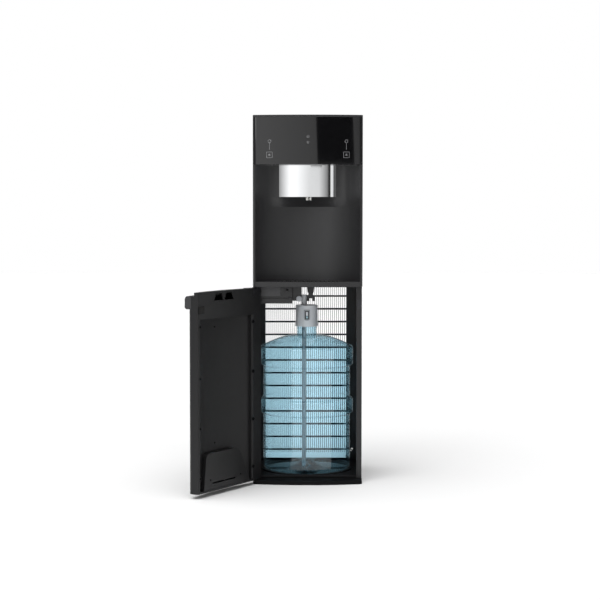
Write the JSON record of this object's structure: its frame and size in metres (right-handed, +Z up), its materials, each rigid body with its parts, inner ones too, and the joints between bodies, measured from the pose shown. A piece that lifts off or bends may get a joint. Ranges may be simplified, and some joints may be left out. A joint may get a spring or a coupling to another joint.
{
  "type": "floor-standing bottom-load water dispenser",
  "caption": "Tall black water dispenser with a dispensing alcove under a glossy head, and a bottle with its probe in a bay behind an open lower door.",
  "frame": {"origin": "centre of the flat sole of the base pan, on the floor", "axes": "+X to the right seen from the front, +Y from the front to the back, +Z up"},
  "size_m": [0.4895, 0.5917, 1.045],
  "materials": {
    "matte_black": "fine moulded texture, black",
    "gloss_black": "polished piano black",
    "dark_steel": "black powder coat on sheet steel",
    "black_enamel": "black baked enamel on steel tube and wire",
    "polished_steel": "mirror polished stainless steel",
    "plated_steel": "zinc plated or bare stainless steel",
    "handle_satin": "satin black, brighter along its rounded top",
    "rubber": "black rubber",
    "clear_blue": "clear blue blown plastic, glossy",
    "water": "clear water, drawn as a light blue body",
    "grey_plastic": "light grey moulded plastic",
    "white_plastic": "natural white plastic",
    "foam": "rigid insulating foam",
    "circuit_board": "green circuit board"
  },
  "bodies": {
    "cabinet": {"base_pan": "matte_black", "foot_pad_front_left": "rubber", "foot_pad_back_left": "rubber", "foot_pad_front_right": "rubber", "foot_pad_back_right": "rubber", "bay_floor": "matte_black", "left_side_panel": "dark_steel", "right_side_panel": "dark_steel", "back_frame": "dark_steel", "condenser_tubes": "black_enamel", "condenser_wires": "black_enamel", "upper_back_cover": "dark_steel", "switch_bezel": "matte_black", "drain_spigot": "white_plastic", "cord_gland": "rubber", "deck": "dark_steel", "compressor": "black_enamel", "cold_tank": "plated_steel", "cold_tank_jacket": "foam", "hot_tank": "plated_steel", "alcove_shell": "matte_black", "spout_housing": "matte_black", "spout_hood": "polished_steel", "cold_nozzle": "white_plastic", "hot_nozzle": "white_plastic", "head_fascia": "gloss_black", "touch_board": "circuit_board", "top_cover": "matte_black", "pump_housing": "matte_black", "pump_cover": "grey_plastic", "water_pump": "white_plastic", "pump_valve_block": "matte_black", "inlet_screen_cap": "grey_plastic", "probe_hanger": "matte_black", "bottle": "clear_blue", "bottle_water": "water", "probe_cap": "grey_plastic", "probe_tube": "grey_plastic", "probe_elbow": "grey_plastic", "feed_pipe": "white_plastic", "cold_pipe": "white_plastic", "hot_pipe": "white_plastic", "upper_hinge_bracket": "plated_steel", "lower_hinge_pin": "plated_steel", "strike_plate": "plated_steel"},
    "door": {"door_outer_skin": "matte_black", "door_inner_panel": "matte_black", "door_kick_box": "matte_black", "door_handle": "handle_satin", "upper_hinge_leaf": "plated_steel", "door_magnet": "rubber"},
    "tray": {"drip_tray": "matte_black"},
    "grille": {"drip_grille": "matte_black"},
    "release_button": {"cap_release_button": "grey_plastic"},
    "switch_plunger": {"door_switch_plunger": "white_plastic"},
    "cold_switch": {"cold_rocker": "gloss_black"},
    "hot_switch": {"hot_rocker": "gloss_black"},
    "drain_cap": {"drain_cap": "matte_black"}
  },
  "joints": [
    {"name": "door_hinge", "type": "hinge", "parent": "cabinet", "child": "door", "pos_m": [-0.147, -0.147, 0.285], "axis": [0, 0, 1], "range_deg": [-7.5, 122.5]},
    {"name": "tray_lift", "type": "slide", "parent": "cabinet", "child": "tray", "axis": [0, 0, 1], "range_m": [0, 0.04]},
    {"name": "grille_lift", "type": "slide", "parent": "tray", "child": "grille", "axis": [0, 0, 1], "range_m": [0, 0.03]},
    {"name": "release_button_press", "type": "slide", "parent": "cabinet", "child": "release_button", "axis": [0, 1, 0], "range_m": [0, 0.002], "stiffness_N_per_m": 400, "springref_m": -0.001},
    {"name": "door_switch_press", "type": "slide", "parent": "cabinet", "child": "switch_plunger", "axis": [0, 1, 0], "range_m": [0, 0.003], "stiffness_N_per_m": 200, "springref_m": -0.001},
    {"name": "cold_switch_rock", "type": "hinge", "parent": "cabinet", "child": "cold_switch", "pos_m": [-0.104, 0.1663, 0.69], "axis": [1, 0, 0], "range_deg": [0, 16]},
    {"name": "hot_switch_rock", "type": "hinge", "parent": "cabinet", "child": "hot_switch", "pos_m": [-0.08, 0.1663, 0.69], "axis": [1, 0, 0], "range_deg": [0, 16]},
    {"name": "drain_cap_turn", "type": "hinge", "parent": "cabinet", "child": "drain_cap", "pos_m": [0.096, 0.176, 0.612], "axis": [0, 1, 0], "range_deg": [0, 360]}
  ]
}
